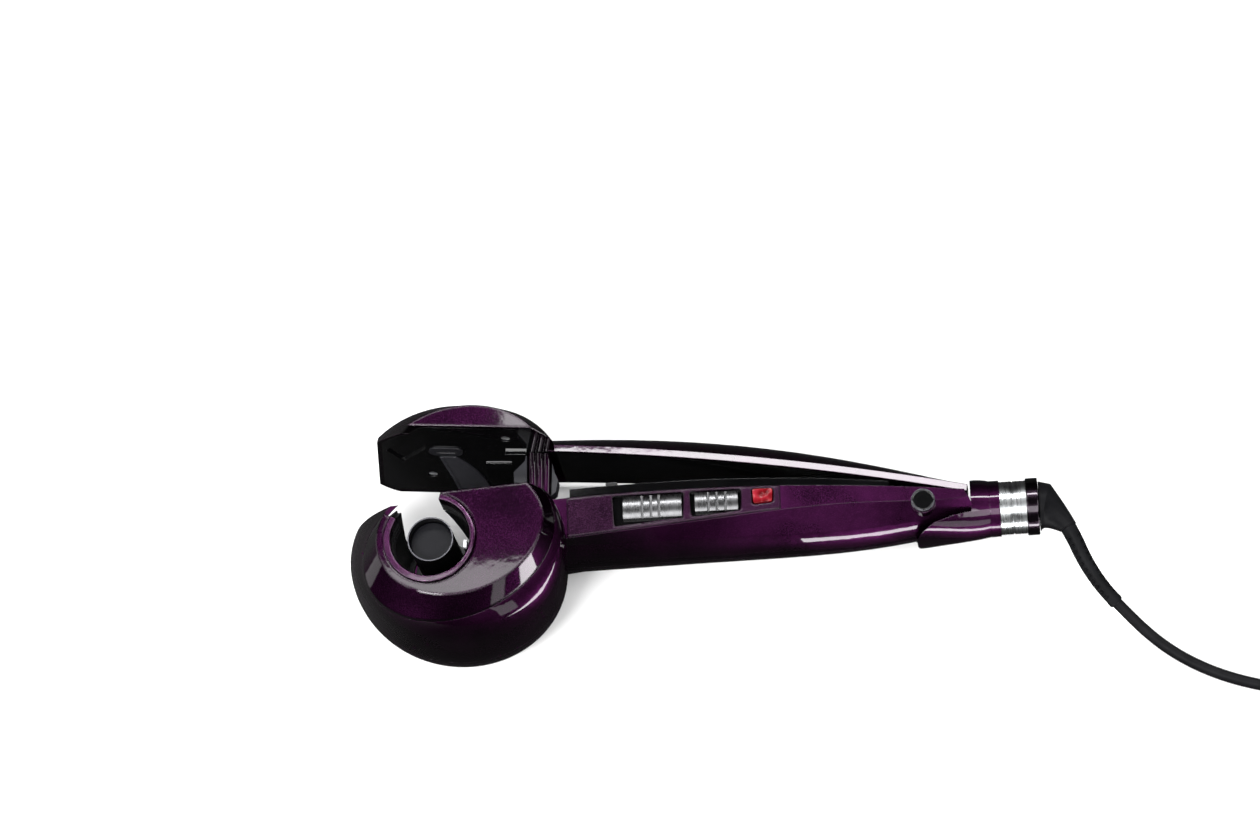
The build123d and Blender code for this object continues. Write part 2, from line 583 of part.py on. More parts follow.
# ---- cord, coil and plug --------------------------------------------------------------
FLOOR_Z = CORD_R + 0.1
COIL_X = 381.0
COIL_Y = -36.0
COIL_INNER = 20.9
COIL_OUTER = 36.8
COIL_HEIGHT = 19.4
CORD_ROUTE = [RELIEF_END, (284.6, -35.3, 8.4), (291.8, -42.2, 5.2), (300.5, -49.2, 3.2), (311.0, -55.8, FLOOR_Z),
              (323.0, -61.4, FLOOR_Z), (336.5, -65.6, FLOOR_Z), (350.5, -68.6, FLOOR_Z), (366.0, -70.2, FLOOR_Z)]
TAIL_ROUTE = [(415.4, -33.0, 16.8), (415.5, -23.0, 16.0), (414.6, -12.6, 12.6), (413.2, -2.6, 8.8),
              (411.9, 7.0, 7.0)]
coil = tube(COIL_OUTER, COIL_INNER, 0.1, COIL_HEIGHT, COIL_X, COIL_Y)
cord = run_tube(CORD_ROUTE, CORD_R, "cord")
tail = run_tube(TAIL_ROUTE, CORD_R, "tail")
keep("cord", cord - coil - strain_relief)
keep("cord_coil", fillet(coil.edges().filter_by(GeomType.CIRCLE), 1.5))

PLUG_TURN = 8.0
plug_frame = Pos(TAIL_ROUTE[-1][0], TAIL_ROUTE[-1][1], TAIL_ROUTE[-1][2]) * Rot(0, 0, PLUG_TURN)

def plug_section(y):
    return Plane(origin=(0, y, 0), x_dir=(1, 0, 0), z_dir=(0, 1, 0))


plug = loft([plug_section(0) * Circle(2.9), plug_section(12) * Circle(3.9)])
plug += loft([
    plug_section(12) * RectangleRounded(12, 9, 3.5),
    plug_section(22) * RectangleRounded(19, 12.4, 4.0),
    plug_section(36) * RectangleRounded(22, 13.6, 4.0),
])
plug_body = plug_frame * plug
keep("plug_body", plug_body)
keep("cord_tail", tail - coil - plug_body)
BLADE_SPACING = 12.7
prongs = []
for side in (-1, 1):
    prong = block(side * BLADE_SPACING / 2 - 0.75, side * BLADE_SPACING / 2 + 0.75, 36, 53, -3.17, 3.17)
    prongs.append(plug_frame * chamfer(prong.edges().filter_by(Axis.Z).group_by(Axis.Y)[-1], 0.5))
keep("plug_blades", Compound(children=prongs))
tie = tube(COIL_OUTER + 1.0, COIL_INNER - 1.0, -0.1 + 0.1, COIL_HEIGHT + 1.0, COIL_X, COIL_Y)
tie -= tube(COIL_OUTER + 0.05, COIL_INNER - 0.05, -5, COIL_HEIGHT + 0.05, COIL_X, COIL_Y)
keep("cord_tie", tie & block(COIL_X - 4, COIL_X + 4, COIL_Y, COIL_Y + 60, -5, 60))

# ---- upper jaw --------------------------------------------------------------------------
LID_END_X = -28.5
LID_END_LEAN = 0.135


def beyond_lid_end(step):
    """Everything to the right of the lid's squared left end, or of a plane inside it."""
    rings = []
    for z in (-10, 90):
        end = LID_END_X + step + LID_END_LEAN * (z - 45)
        outline = Polyline((end + 0.8, 10), (120, 10), (120, 70), (end - 3.8, 70), close=True)
        rings.append(Pos(0, 0, z) * make_face(outline))
    return loft(rings, ruled=True)


UPPER_STATIONS = (38, 60, 85, 118, 151, 180, 219)
upper_outer = (bulb() & UPPER_SIDE & beyond_lid_end(0)) + arm(upper_arm_section, UPPER_STATIONS)
upper_outer -= bulb(WALL) & beyond_lid_end(WALL)
upper_outer -= arm(upper_arm_section, (34, 60, 85, 118, 151, 180, 217.4), 1.8)
keep_open("upper_shell", upper_outer)
keep_open("upper_face_plate", face_ring & UPPER_SIDE)



def standing_disc(radius, y_low, y_high, x, z):
    """A round bar along Y."""
    return Pos(x, (y_low + y_high) / 2, z) * Rot(90, 0, 0) * Cylinder(radius, y_high - y_low)


def on_underside(outline, lift_low, lift_high):
    """An outline in XZ, standing between two heights over the parting of the jaws."""
    face = make_face(Polyline(*[(x, 0, z) for x, z in outline], close=True))
    return extrude(face, 80, dir=(0, 1, 0)) & parting_slab(lift_low, lift_high)


# polished black underside of the lid, with its screws, guide and pressing bar
NECK_X = 47.0
UNDERSIDE_SCREWS = [(27.2, 52.7), (-8.4, 17.8), (38.0, 16.0)]
underside = head_inside & parting_slab(JAW_GAP, JAW_GAP + 2.0) & block(-60, NECK_X, 0, 60, 0, 80)
underside &= beyond_lid_end(WALL)
screws = []
for x, z in UNDERSIDE_SCREWS:
    seat_y = parting_y(x, z) + JAW_GAP
    underside -= standing_disc(2.3, seat_y - 3, seat_y + 1.0, x, z)
    head = standing_disc(1.9, seat_y + 0.3, seat_y + 1.0, x, z)
    head -= block(x - 3, x + 3, seat_y - 1, seat_y + 0.6, z - 0.25, z + 0.25)
    screws.append(head)
keep_open("underside_screws", Compound(children=screws))
underside -= on_underside([(-25, 40), (-12, 57), (-8, 57), (-8, 42), (-19, 30)], 0, JAW_GAP + 1.0)

guide_outline = [(-2.8, 35.3), (4.1, 35.6), (8.6, 28.6), (11.7, 22.0), (14.0, 14.6), (15.4, 6.0), (0.9, 5.0),
                 (-0.2, 17.2), (-1.8, 28.0)]
guide = on_underside(guide_outline, 0.35, JAW_GAP)
guide += on_underside([(2.6, 35.3), (4.1, 35.6), (8.6, 28.6), (11.7, 22.0), (14.0, 14.6), (15.4, 6.0),
                       (14.0, 6.0), (12.6, 14.2), (10.4, 21.4), (7.3, 27.9)], 0.1, 0.5)
guide += on_underside([(-2.8, 35.3), (-1.4, 35.3), (-0.5, 28.0), (1.1, 17.2), (2.2, 5.0), (0.9, 5.0),
                       (-0.2, 17.2), (-1.8, 28.0)], 0.1, 0.5)
keep_open("hair_guide", guide)

BAR_LEFT = -3.4
BAR_RIGHT = 4.4
BAR_Z = 40.6
bar_outline = block(BAR_LEFT, BAR_RIGHT, 0, 60, BAR_Z - 3.3, BAR_Z + 3.3)
for x in (BAR_LEFT, BAR_RIGHT):
    bar_outline += standing_disc(3.3, 0, 60, x, BAR_Z)
bar_groove = block(BAR_LEFT, BAR_RIGHT, 0, 60, BAR_Z - 1.2, BAR_Z + 1.2)
keep_open("pressing_bar", (bar_outline & parting_slab(0.1, JAW_GAP)) - (bar_groove & parting_slab(-2, 0.5)))
underside += on_underside([(14.2, 13.0), (25.6, 13.6), (27.2, 30.8), (16.2, 30.4)], 0.2, JAW_GAP + 0.1)
underside += on_underside([(26.0, 37.0), (34.8, 37.0), (34.8, 41.6), (25.8, 41.4)], -0.6, JAW_GAP + 0.1)
keep_open("upper_jaw_cover", underside)

# cover of the upper arm, with the two lugs that turn on the pin
UPPER_INSET = 5.05
COVER_STATIONS = (NECK_X + 0.2, 80, 115, 150, 185, 217)
arm_cover = slab(COVER_STATIONS, upper_under_y, lambda x: upper_under_y(x) + 1.8, UPPER_INSET)
for z_low, z_high in ((14.8, 18.9), (29.1, 33.2)):
    lug = disc(4.6, z_low, z_high, HINGE_X, HINGE_Y)
    lug += block(HINGE_X - 4.6, HINGE_X + 4.6, HINGE_Y, 19.6, z_low, z_high)
    arm_cover += lug
arm_cover -= disc(PIN_R + RUNNING, 0, 60, HINGE_X, HINGE_Y)
keep_open("upper_arm_cover", arm_cover)

# guard across the neck: keeps hair out of the handle, dips into the lower head on closing
GUARD_Z = 41.0
guard_outline = [(35.2, 20.6), (44.6, 21.0), (46.8, 0.9), (38.0, 4.6)]
neck_guard = prism(guard_outline, 28, GUARD_Z - 1.2)
for share in (0.17, 0.5, 0.83):
    top_x = 35.2 + share * 9.4
    low_x = 37.6 + share * 9.0
    ridge_line = Line((top_x, 20.4, GUARD_Z - 1.6), (low_x, 5.0 - share * 3.6, GUARD_Z - 1.6))
    ridge_start = Plane(origin=ridge_line @ 0, z_dir=ridge_line % 0)
    neck_guard += sweep(ridge_start * Circle(1.75), path=ridge_line)
keep_open("neck_guard", (neck_guard & block(20, 60, -5, 19.9, 20, 60)) - parting_slab(JAW_GAP, 80))
left_wing = prism([(30.4, 10.5), (34.6, 16.0), (34.6, 18.2), (35.0, 18.2), (36.6, 6.0), (31.2, 6.0)], 34, GUARD_Z)
right_wing = prism([(46.0, 16.0), (47.0, 12.9), (49.4, 8.7), (49.1, 3.4), (47.4, 1.6)], 34, GUARD_Z - 0.8)
guard_wings = (left_wing + right_wing) - parting_slab(JAW_GAP, 80)
keep_open("guard_wings", guard_wings)
keep_open("closing_magnet", block(95, 101, upper_under_y(98) + 2.0, upper_under_y(98) + 4.0, 20, 28))
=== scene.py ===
import math

import bpy
from mathutils import Matrix, Vector


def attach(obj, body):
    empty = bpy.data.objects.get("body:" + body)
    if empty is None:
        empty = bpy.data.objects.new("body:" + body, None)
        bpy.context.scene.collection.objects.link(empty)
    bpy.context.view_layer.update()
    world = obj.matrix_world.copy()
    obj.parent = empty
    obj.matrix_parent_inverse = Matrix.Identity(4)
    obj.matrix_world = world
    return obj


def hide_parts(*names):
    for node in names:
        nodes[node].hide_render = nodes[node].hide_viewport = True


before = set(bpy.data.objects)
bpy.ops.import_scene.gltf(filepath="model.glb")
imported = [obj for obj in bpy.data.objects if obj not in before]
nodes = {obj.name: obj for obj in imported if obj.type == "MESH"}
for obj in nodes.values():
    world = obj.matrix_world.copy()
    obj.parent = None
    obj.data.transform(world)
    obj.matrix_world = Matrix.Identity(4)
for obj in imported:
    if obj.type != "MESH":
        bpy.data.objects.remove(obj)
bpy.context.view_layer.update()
scene = bpy.context.scene

# ---------------------------------------------------------------- camera
CAMERA_AT = Vector((0.2232, -0.5017, 1.4613))
CAMERA_BACK = Vector((0.0924, -0.3633, 0.9271)).normalized()
CAMERA_ROLL = math.radians(3.8)
level_right = (Vector((1, 0, 0)) - CAMERA_BACK.x * CAMERA_BACK).normalized()
level_up = CAMERA_BACK.cross(level_right)
camera_right = math.cos(CAMERA_ROLL) * level_right - math.sin(CAMERA_ROLL) * level_up
camera_up = math.sin(CAMERA_ROLL) * level_right + math.cos(CAMERA_ROLL) * level_up
camera_data = bpy.data.cameras.new("camera")
camera_data.sensor_width = 36.0
camera_data.lens = 104.5
camera_data.clip_start = 0.05
camera_data.clip_end = 50.0
camera = bpy.data.objects.new("camera", camera_data)
scene.collection.objects.link(camera)
turn = Matrix((camera_right, camera_up, CAMERA_BACK)).transposed().to_4x4()
camera.matrix_world = Matrix.Translation(CAMERA_AT) @ turn
scene.camera = camera
scene.view_settings.view_transform = "Standard"


# ---------------------------------------------------------------- cord
def add(name, data):
    piece = bpy.data.objects.new(name, data)
    scene.collection.objects.link(piece)
    return piece


def nurbs(name, points, radius, resolution=6, bevel=5):
    data = bpy.data.curves.new(name, "CURVE")
    data.dimensions = "3D"
    data.bevel_depth = 1.0 if radius else 0.0
    data.bevel_resolution = bevel
    data.resolution_u = resolution
    data.use_fill_caps = True
    spline = data.splines.new("NURBS")
    spline.points.add(len(points) - 1)
    for slot, (x, y, z) in zip(spline.points, points):
        slot.co = (x, y, z, 1.0)
        slot.radius = radius
    spline.order_u = 3
    spline.use_endpoint_u = True
    return add(name, data)


CORD_RADIUS = 0.0024
CORD_LIES_AT = 0.0025
CORD_EXIT = (0.2784, -0.0290, 0.0124)
LEAD_OUT = [
    CORD_EXIT, (0.2846, -0.0353, 0.0084), (0.2918, -0.0422, 0.0052), (0.3005, -0.0492, 0.0032),
    (0.3110, -0.0558, 0.0025), (0.3230, -0.0614, 0.0025), (0.3365, -0.0656, 0.0025),
    (0.3505, -0.0686, 0.0025), (0.3660, -0.0702, 0.0025),
]
TAIL = [
    (0.4154, -0.0330, 0.0168), (0.4155, -0.0230, 0.0160), (0.4146, -0.0126, 0.0126),
    (0.4132, -0.0026, 0.0088), (0.4119, 0.0070, 0.0070),
]
COIL_CENTRE = (0.3810, -0.0360)
COIL_START = -98.0
COIL_TURN = 9 * 360 + 84
COIL_LAYERS = 4
COIL_INSIDE = 0.0235
COIL_OUTSIDE = 0.0346
COIL_STEP = 0.0048
CLIMB_SHARE = 0.3
POINTS_PER_TURN = 16


def ease(share):
    share = min(1.0, max(0.0, share))
    return share * share * (3 - 2 * share)


def coil_height(progress):
    """Layers lie flat; the cord climbs to the next one as it turns back at the rim."""
    height = CORD_LIES_AT
    for change in range(1, COIL_LAYERS):
        height += COIL_STEP * ease((progress - change) / CLIMB_SHARE + 0.5)
    return height


coil_points = []
coil_count = round(COIL_TURN / 360 * POINTS_PER_TURN)
for step in range(coil_count + 1):
    progress = step / coil_count * COIL_LAYERS
    layer = min(int(progress), COIL_LAYERS - 1)
    along = progress - layer
    inward = along if layer % 2 == 0 else 1 - along
    radius = COIL_OUTSIDE + (COIL_INSIDE - COIL_OUTSIDE) * inward
    angle = math.radians(COIL_START + COIL_TURN * step / coil_count)
    east = COIL_CENTRE[0] + radius * math.cos(angle)
    north = COIL_CENTRE[1] + radius * math.sin(angle)
    coil_points.append((east, north, coil_height(progress)))

cord = nurbs("mains_cord", LEAD_OUT + coil_points + TAIL, CORD_RADIUS)
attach(cord, "swivel")
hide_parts("cord", "cord_coil", "cord_tail")

# cord guard: a tapered sleeve with four rows of notches, on a smooth line from the elbow to the cord
GUARD_ROUTE = [
    (0.2606, 0.0012, 0.0237), (0.2629, -0.0036, 0.0230), (0.2650, -0.0092, 0.0214), (0.2679, -0.0152, 0.0193),
    (0.2713, -0.0206, 0.0170), (0.2750, -0.0254, 0.0146), CORD_EXIT,
]
guide = nurbs("guard_line", GUARD_ROUTE, 0.0, resolution=32, bevel=0)
bpy.context.view_layer.update()
line_mesh = bpy.data.meshes.new_from_object(guide.evaluated_get(bpy.context.evaluated_depsgraph_get()))
line = [v.co.copy() for v in line_mesh.vertices]
bpy.data.objects.remove(guide)


def along_line(points, count):
    """Evenly spaced points, with tangents, on a polyline."""
    reach = [0.0]
    for a, b in zip(points, points[1:]):
        reach.append(reach[-1] + (b - a).length)
    result = []
    index = 0
    for step in range(count):
        target = reach[-1] * step / (count - 1)
        while index < len(points) - 2 and reach[index + 1] < target:
            index += 1
        gap = reach[index + 1] - reach[index]
        share = (target - reach[index]) / gap if gap else 0.0
        spot = points[index].lerp(points[index + 1], share)
        result.append((spot, (points[index + 1] - points[index]).normalized(), target))
    return result, reach[-1]


GUARD_RINGS = 220
GUARD_SIDES = 72
GUARD_RADIUS = 0.0033
GUARD_TAPER = 0.0004
RIM_FLARE = 0.00012
RIM_START, RIM_RISE = 0.9, 0.08
END_ROUNDING, END_SHARE = 0.10, 0.015
RIB_HEIGHT = 0.035
NOTCHES = 11
NOTCHES_FROM, NOTCHES_SPREAD = 0.10, 0.80
NOTCH_DEPTH = 0.0012
NOTCH_ROW = 32
NOTCH_HALF_WIDTH = 27
NOTCH_HALF_LENGTH = 0.32
NOTCH_EDGE, NOTCH_SOFTNESS = 1.15, 0.3
rings, guard_length = along_line(line, GUARD_RINGS)
verts, faces = [], []
for spot, tangent, reach in rings:
    side = tangent.cross(Vector((0, 0, 1))).normalized()
    top = side.cross(tangent).normalized()
    share = reach / guard_length
    base = GUARD_RADIUS - GUARD_TAPER * share + RIM_FLARE * ease((share - RIM_START) / RIM_RISE)
    base *= 1 - END_ROUNDING * ease((share - (1 - END_SHARE)) / END_SHARE)
    for corner in range(GUARD_SIDES):
        angle = 2 * math.pi * corner / GUARD_SIDES
        radius = base * (1 + RIB_HEIGHT * math.cos(4 * angle))
        row = abs(abs((math.degrees(angle) + 180) % 360 - 180) - 90) - NOTCH_ROW
        place = (share - NOTCHES_FROM) / NOTCHES_SPREAD * NOTCHES
        if 0 < place < NOTCHES:
            offset = (place % 1.0) - 0.5
            span = math.hypot(offset / NOTCH_HALF_LENGTH, row / NOTCH_HALF_WIDTH)
            radius -= NOTCH_DEPTH * ease((NOTCH_EDGE - span) / NOTCH_SOFTNESS)
        verts.append(spot + radius * (math.cos(angle) * top + math.sin(angle) * side))
for ring in range(GUARD_RINGS - 1):
    for corner in range(GUARD_SIDES):
        after = (corner + 1) % GUARD_SIDES
        a, b = ring * GUARD_SIDES, (ring + 1) * GUARD_SIDES
        faces.append((a + corner, a + after, b + after, b + corner))
faces.append(tuple(reversed(range(GUARD_SIDES))))
faces.append(tuple(range((GUARD_RINGS - 1) * GUARD_SIDES, GUARD_RINGS * GUARD_SIDES)))
guard_mesh = bpy.data.meshes.new("cord_guard")
guard_mesh.from_pydata(verts, [], faces)
guard_mesh.update()
cord_guard = add("cord_guard", guard_mesh)
for polygon in guard_mesh.polygons:
    polygon.use_smooth = len(polygon.vertices) == 4
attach(cord_guard, "swivel")
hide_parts("strain_relief")


# ---------------------------------------------------------------- materials
class Surface:
    """A Principled material whose colour, roughness and normal come from procedural nodes."""

    def __init__(self, name):
        self.material = bpy.data.materials.new(name)
        self.material.use_nodes = True
        self.tree = self.material.node_tree
        self.tree.nodes.clear()
        self.output = self.node("OutputMaterial")
        self.shader = self.node("BsdfPrincipled")
        self.link(self.shader.outputs[0], self.output.inputs[0])
        self.coords = self.node("TexCoord").outputs["Object"]

    def node(self, kind, **settings):
        made = self.tree.nodes.new("ShaderNode" + kind)
        for key, value in settings.items():
            setattr(made, key, value)
        return made

    def link(self, source, target):
        self.tree.links.new(source, target)

    def set(self, **values):
        for key, value in values.items():
            self.shader.inputs[key.replace("_", " ")].default_value = value
        return self

    def stretched(self, scale):
        mapping = self.node("Mapping")
        mapping.inputs["Scale"].default_value = scale
        self.link(self.coords, mapping.inputs["Vector"])
        return mapping.outputs[0]

    def noise(self, scale, detail=3.0, rough=0.5, vector=None, distortion=0.0):
        made = self.node("TexNoise")
        made.inputs["Scale"].default_value = scale
        made.inputs["Detail"].default_value = detail
        made.inputs["Roughness"].default_value = rough
        made.inputs["Distortion"].default_value = distortion
        self.link(vector or self.coords, made.inputs["Vector"])
        return made.outputs["Fac"]

    def cells(self, scale, output="Distance"):
        made = self.node("TexVoronoi")
        made.inputs["Scale"].default_value = scale
        self.link(self.coords, made.inputs["Vector"])
        return made.outputs[output]

    def waves(self, scale, distortion, direction):
        made = self.node("TexWave", bands_direction=direction)
        made.inputs["Scale"].default_value = scale
        made.inputs["Distortion"].default_value = distortion
        self.link(self.coords, made.inputs["Vector"])
        return made.outputs["Fac"]

    def ramp(self, fac, stops, target=None):
        made = self.node("ValToRGB")
        band = made.color_ramp
        band.elements[0].position, band.elements[1].position = stops[0][0], stops[-1][0]
        for place, colour in stops[1:-1]:
            band.elements.new(place)
        for element, (place, colour) in zip(band.elements, stops):
            element.color = colour if len(colour) == 4 else (*colour, 1.0)
        self.link(fac, made.inputs["Fac"])
        if target:
            self.link(made.outputs["Color"], self.shader.inputs[target])
        return made.outputs["Color"]

    def mixed(self, fac, first, second, blend="MIX"):
        made = self.node("Mix", data_type="RGBA", blend_type=blend)
        for socket, value in ((made.inputs[0], fac), (made.inputs[6], first), (made.inputs[7], second)):
            if isinstance(value, bpy.types.NodeSocket):
                self.link(value, socket)
            else:
                socket.default_value = value
        return made.outputs[2]

    def roughen(self, fac, low, high):
        made = self.node("MapRange")
        made.inputs["To Min"].default_value = low
        made.inputs["To Max"].default_value = high
        self.link(fac, made.inputs["Value"])
        self.link(made.outputs[0], self.shader.inputs["Roughness"])

    def bump(self, height, strength, depth, normal=None):
        made = self.node("Bump")
        made.inputs["Strength"].default_value = strength
        made.inputs["Distance"].default_value = depth
        self.link(height, made.inputs["Height"])
        if normal:
            self.link(normal, made.inputs["Normal"])
        return made.outputs[0]

    def rounded(self, radius):
        made = self.node("Bevel", samples=6)
        made.inputs["Radius"].default_value = radius
        return made.outputs[0]

    def normal(self, socket, coat=None):
        self.link(socket, self.shader.inputs["Normal"])
        if coat:
            self.link(coat, self.shader.inputs["Coat Normal"])
        return self


def grey(value):
    return (value, value, value, 1.0)


def pearl(name, deep, bright, flake, roughness=0.38, edge_radius=0.00035):
    """Pearlescent lacquer: a metallic ground with fine flakes under a clear coat."""
    made = Surface(name)
    cloud = made.noise(38.0, 4.0, 0.55, distortion=0.4)
    ground = made.ramp(cloud, [(0.30, deep), (0.72, bright)])
    sparkle = made.cells(3800.0, output="Color")
    bits = made.ramp(made.noise(2600.0, 2.0), [(0.46, grey(0.0)), (0.74, grey(1.0))])
    speck = made.mixed(bits, ground, flake, "ADD")
    made.link(speck, made.shader.inputs["Base Color"])
    made.roughen(made.noise(900.0, 2.0), roughness - 0.05, roughness + 0.07)
    made.set(Metallic=1.0, Coat_Weight=0.85, Coat_Roughness=0.03, Coat_IOR=1.42, Specular_IOR_Level=0.3,
             Specular_Tint=(0.30, 0.10, 0.30, 1.0))
    edge = made.rounded(edge_radius)
    peel = made.bump(made.noise(240.0, 2.0), 0.015, 0.0004, edge)
    flakes = made.bump(sparkle, 0.12, 0.0002, edge)
    return made.normal(flakes, peel).material


def polished(name, colour, roughness=0.05, coat=0.6):
    """Polished moulded plastic with the faint dust and rub marks it picks up."""
    made = Surface(name)
    haze = made.noise(60.0, 5.0, 0.6)
    made.ramp(haze, [(0.3, colour), (0.8, tuple(c * 1.5 + 0.001 for c in colour))], "Base Color")
    dust = made.ramp(made.noise(1500.0, 4.0, 0.7), [(0.55, grey(0.0)), (0.80, grey(1.0))])
    made.roughen(dust, roughness, roughness + 0.12)
    made.set(Coat_Weight=coat, Coat_Roughness=0.02, Coat_IOR=1.4, IOR=1.42)
    edge = made.rounded(0.00025)
    swell = made.bump(made.noise(120.0, 2.0), 0.03, 0.0004, edge)
    return made.normal(swell, swell).material


def moulded(name, colour, roughness, grain=2600.0, depth=0.35, gloss=0.28):
    """Matte moulded plastic with an eroded-spark texture."""
    made = Surface(name)
    broad = made.noise(70.0, 4.0, 0.6)
    made.ramp(broad, [(0.25, tuple(c * 0.82 for c in colour)), (0.75, tuple(c * 1.22 for c in colour))],
              "Base Color")
    texture = made.noise(grain, 3.0, 0.6)
    made.roughen(texture, roughness - 0.07, roughness + 0.10)
    edge = made.rounded(0.0003)
    made.set(Specular_IOR_Level=gloss)
    return made.normal(made.bump(texture, depth, 0.00012, edge)).material


def rubbery(name, colour, roughness=0.55):
    """Soft vinyl: fine matte skin, faint bloom and a few scuffs."""
    made = Surface(name)
    bloom = made.noise(110.0, 5.0, 0.65)
    made.ramp(bloom, [(0.35, colour), (0.80, tuple(c * 1.9 + 0.001 for c in colour))], "Base Color")
    skin = made.noise(1900.0, 3.0, 0.55)
    made.roughen(skin, roughness - 0.10, roughness + 0.08)
    made.set(Sheen_Weight=0.01, Sheen_Roughness=0.4, Specular_IOR_Level=0.06)
    scuff = made.noise(420.0, 2.0, vector=made.stretched((0.35, 1.0, 1.0)))
    low = made.bump(scuff, 0.10, 0.0002)
    return made.normal(made.bump(skin, 0.22, 0.0001, low)).material


def brushed(name, colour, stretch, roughness, anisotropic=0.6, edge_radius=0.0002):
    """Metal with fine brushing along one direction."""
    made = Surface(name)
    lines = made.noise(700.0, 5.0, 0.65, vector=made.stretched(stretch))
    darker = tuple(c * 0.80 for c in colour)
    lighter = tuple(min(1.0, c * 1.10) for c in colour)
    made.ramp(lines, [(0.30, darker), (0.70, lighter)], "Base Color")
    made.roughen(lines, roughness - 0.07, roughness + 0.10)
    made.set(Metallic=1.0, Anisotropic=anisotropic)
    edge = made.rounded(edge_radius)
    return made.normal(made.bump(lines, 0.10, 0.00006, edge)).material


def turned_metal(name, colour, roughness=0.22):
    """Turned or drawn metal with faint machining rings and a little tarnish."""
    made = Surface(name)
    rings = made.waves(2200.0, 1.5, "Z")
    stain = made.noise(160.0, 4.0, 0.6)
    made.ramp(stain, [(0.3, tuple(c * 0.78 for c in colour)), (0.7, colour)], "Base Color")
    made.roughen(stain, roughness - 0.05, roughness + 0.14)
    made.set(Metallic=1.0)
    edge = made.rounded(0.0002)
    return made.normal(made.bump(rings, 0.08, 0.00005, edge)).material


def red_lens():
    """Red signal lens, pyramid-faceted on its inner side."""
    made = Surface("red_lens")
    facets = made.cells(330.0, output="Distance")
    reds = [(0.0, (0.02, 0.0006, 0.001)), (0.40, (0.11, 0.003, 0.006)), (0.9, (0.26, 0.016, 0.026))]
    made.ramp(facets, reds, "Base Color")
    made.roughen(made.noise(1200.0, 2.0), 0.08, 0.16)
    made.set(Coat_Weight=0.35, Coat_Roughness=0.03, Specular_IOR_Level=0.2)
    made.set(Subsurface_Weight=0.1, Subsurface_Scale=0.002)
    made.set(Emission_Color=(0.8, 0.02, 0.02, 1.0), Emission_Strength=0.03)
    edge = made.rounded(0.0003)
    clear = made.bump(made.noise(200.0, 2.0), 0.03, 0.0003, edge)
    return made.normal(made.bump(facets, 0.55, 0.0005, edge), clear).material


def board_green():
    made = Surface("board_green")
    tracks = made.node("TexBrick")
    tracks.inputs["Scale"].default_value = 420.0
    tracks.inputs["Color1"].default_value = (0.015, 0.11, 0.035, 1.0)
    tracks.inputs["Color2"].default_value = (0.02, 0.14, 0.045, 1.0)
    tracks.inputs["Mortar"].default_value = (0.05, 0.26, 0.09, 1.0)
    tracks.inputs["Mortar Size"].default_value = 0.03
    made.link(made.coords, tracks.inputs["Vector"])
    made.link(tracks.outputs["Color"], made.shader.inputs["Base Color"])
    made.roughen(made.noise(800.0), 0.25, 0.40)
    made.set(Coat_Weight=0.5, Coat_Roughness=0.1)
    return made.normal(made.bump(tracks.outputs["Fac"], 0.3, 0.00008)).material


def woven_tie():
    """Hook-and-loop strap."""
    made = Surface("tie_fabric")
    warp = made.waves(1100.0, 0.4, "X")
    weft = made.waves(1100.0, 0.4, "Z")
    cloth = made.mixed(0.5, warp, weft)
    made.ramp(cloth, [(0.2, (0.008, 0.008, 0.009)), (0.8, (0.035, 0.035, 0.038))], "Base Color")
    made.set(Roughness=0.8, Sheen_Weight=0.5, Sheen_Roughness=0.5)
    return made.normal(made.bump(cloth, 0.6, 0.00025)).material


PURPLE = pearl(
    "purple_pearl", deep=(0.0050, 0.0008, 0.0044), bright=(0.0290, 0.0040, 0.0250),
    flake=(0.020, 0.004, 0.018, 1.0))
FACE_PURPLE = pearl(
    "face_pearl", deep=(0.0030, 0.0005, 0.0027), bright=(0.0140, 0.0019, 0.0122),
    flake=(0.013, 0.003, 0.012, 1.0),
    edge_radius=0.0014)
PANEL_PURPLE = pearl(
    "panel_pearl", deep=(0.0060, 0.0018, 0.0054), bright=(0.0200, 0.0060, 0.0175),
    flake=(0.018, 0.007, 0.017, 1.0),
    edge_radius=0.0014)
LIP_PURPLE = pearl(
    "lip_pearl", deep=(0.022, 0.006, 0.020), bright=(0.052, 0.015, 0.046),
    flake=(0.03, 0.01, 0.03, 1.0),
    roughness=0.24, edge_radius=0.0008)
PIANO = polished("piano_black", (0.0010, 0.0010, 0.0012), coat=0.45)
CHARCOAL = moulded("charcoal_plastic", (0.0045, 0.0045, 0.0050), roughness=0.42)
GREY = moulded("grey_plastic", (0.020, 0.020, 0.024), roughness=0.48)
DISC = moulded(
    "barrel_ceramic", (0.0055, 0.0056, 0.0072), roughness=0.36, grain=1700.0, depth=0.25, gloss=0.10)
BARREL = brushed(
    "barrel_steel", (0.09, 0.09, 0.10), stretch=(1.0, 1.0, 0.05), roughness=0.30, anisotropic=0.3)
RING = brushed("ring_aluminium", (0.42, 0.43, 0.44), stretch=(1.0, 0.03, 0.03), roughness=0.26)
BRIGHT = turned_metal("bright_steel", (0.62, 0.62, 0.65))
SCREW = turned_metal("screw_steel", (0.30, 0.30, 0.32), roughness=0.30)
BRASS = turned_metal("brass", (0.72, 0.52, 0.20))
SLIDER = brushed(
    "slider_gunmetal", (0.13, 0.13, 0.134), stretch=(1.0, 0.05, 1.0), roughness=0.26, anisotropic=0.2,
    edge_radius=0.0003)
RUBBER = rubbery("vinyl_black", (0.0035, 0.0036, 0.0042))
ELBOW = rubbery("elbow_black", (0.0030, 0.0030, 0.0036), roughness=0.45)
CORD = rubbery("cord_vinyl", (0.0040, 0.0040, 0.0046), roughness=0.48)
ACETAL = moulded("acetal", (0.62, 0.61, 0.56), roughness=0.38, grain=1800.0, depth=0.15)
